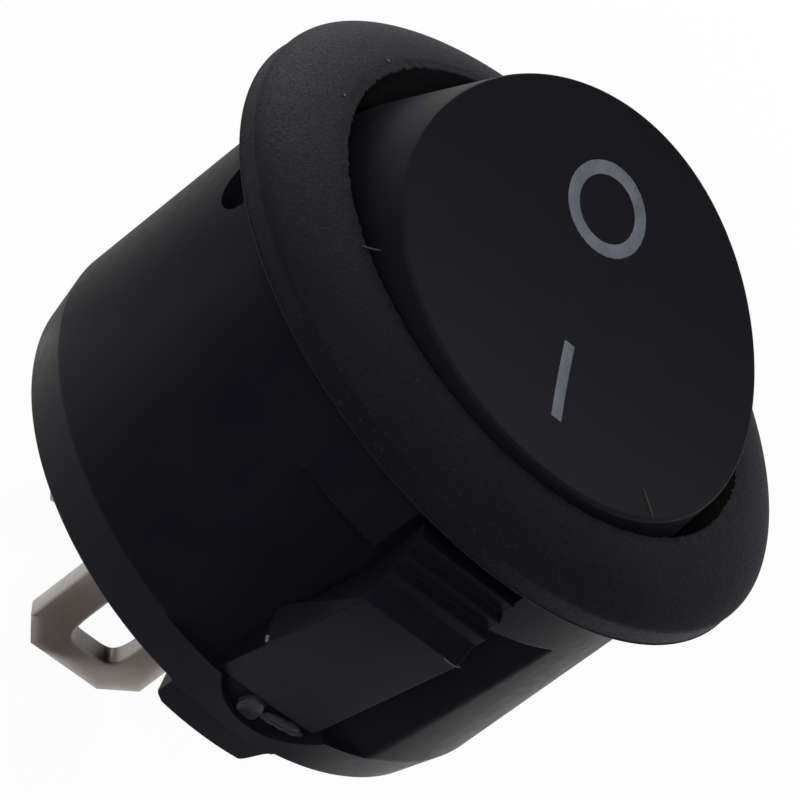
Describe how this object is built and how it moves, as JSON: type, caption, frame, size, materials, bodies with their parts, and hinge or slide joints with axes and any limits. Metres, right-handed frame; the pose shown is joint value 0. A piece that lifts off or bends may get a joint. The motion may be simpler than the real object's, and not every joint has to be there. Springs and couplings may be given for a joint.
{
  "type": "round rocker switch",
  "caption": "Round snap-in rocker switch: a dished black rocker marked O and I tilts in a domed flange and closes a lever contact; the barrel has toothed sprung wings and flat solder lugs.",
  "frame": {"origin": "middle of the flange's seating face, where it lies on the panel's front", "axes": "+Z out of the panel towards the hand that presses the rocker, +X towards the rocker's I side, Y along the rocker's pivot"},
  "size_m": [0.023, 0.023, 0.0272],
  "materials": {
    "housing_plastic": "moulded black nylon, spark-textured on the flange and smooth on the barrel",
    "rocker_plastic": "satin black, with printed light grey O and I",
    "spring_steel": "bright spring wire",
    "plunger_steel": "polished tip",
    "lever_copper": "plain copper alloy strip",
    "contact_silver": "silver alloy",
    "lug_plate": "tin-plated brass, pale and slightly warm"
  },
  "bodies": {
    "housing": {"housing": "housing_plastic", "common_terminal": "lug_plate", "fixed_terminal": "lug_plate", "fixed_contact": "contact_silver"},
    "rocker": {"rocker": "rocker_plastic", "rocker_spring": "spring_steel"},
    "plunger": {"plunger": "plunger_steel"},
    "lever": {"contact_lever": "lever_copper", "moving_contact": "contact_silver"}
  },
  "joints": [
    {"name": "rocker_tilt", "type": "hinge", "parent": "housing", "child": "rocker", "pos_m": [0, 0, -0.00145], "axis": [0, -1, 0], "range_deg": [0, 30.4]},
    {"name": "plunger_slide", "type": "slide", "parent": "rocker", "child": "plunger", "axis": [0.2622, 0, 0.965], "range_m": [0, 0.0012], "stiffness_N_per_m": 300, "springref_m": -0.001, "deforming": ["rocker_spring"]},
    {"name": "lever_tilt", "type": "hinge", "parent": "housing", "child": "lever", "pos_m": [0, 0, -0.00825], "axis": [0, -1, 0], "range_deg": [-14, 0]}
  ],
  "couplings": [
    {"joint": "lever_tilt", "follows": "rocker_tilt", "ratio": -0.46053}
  ]
}
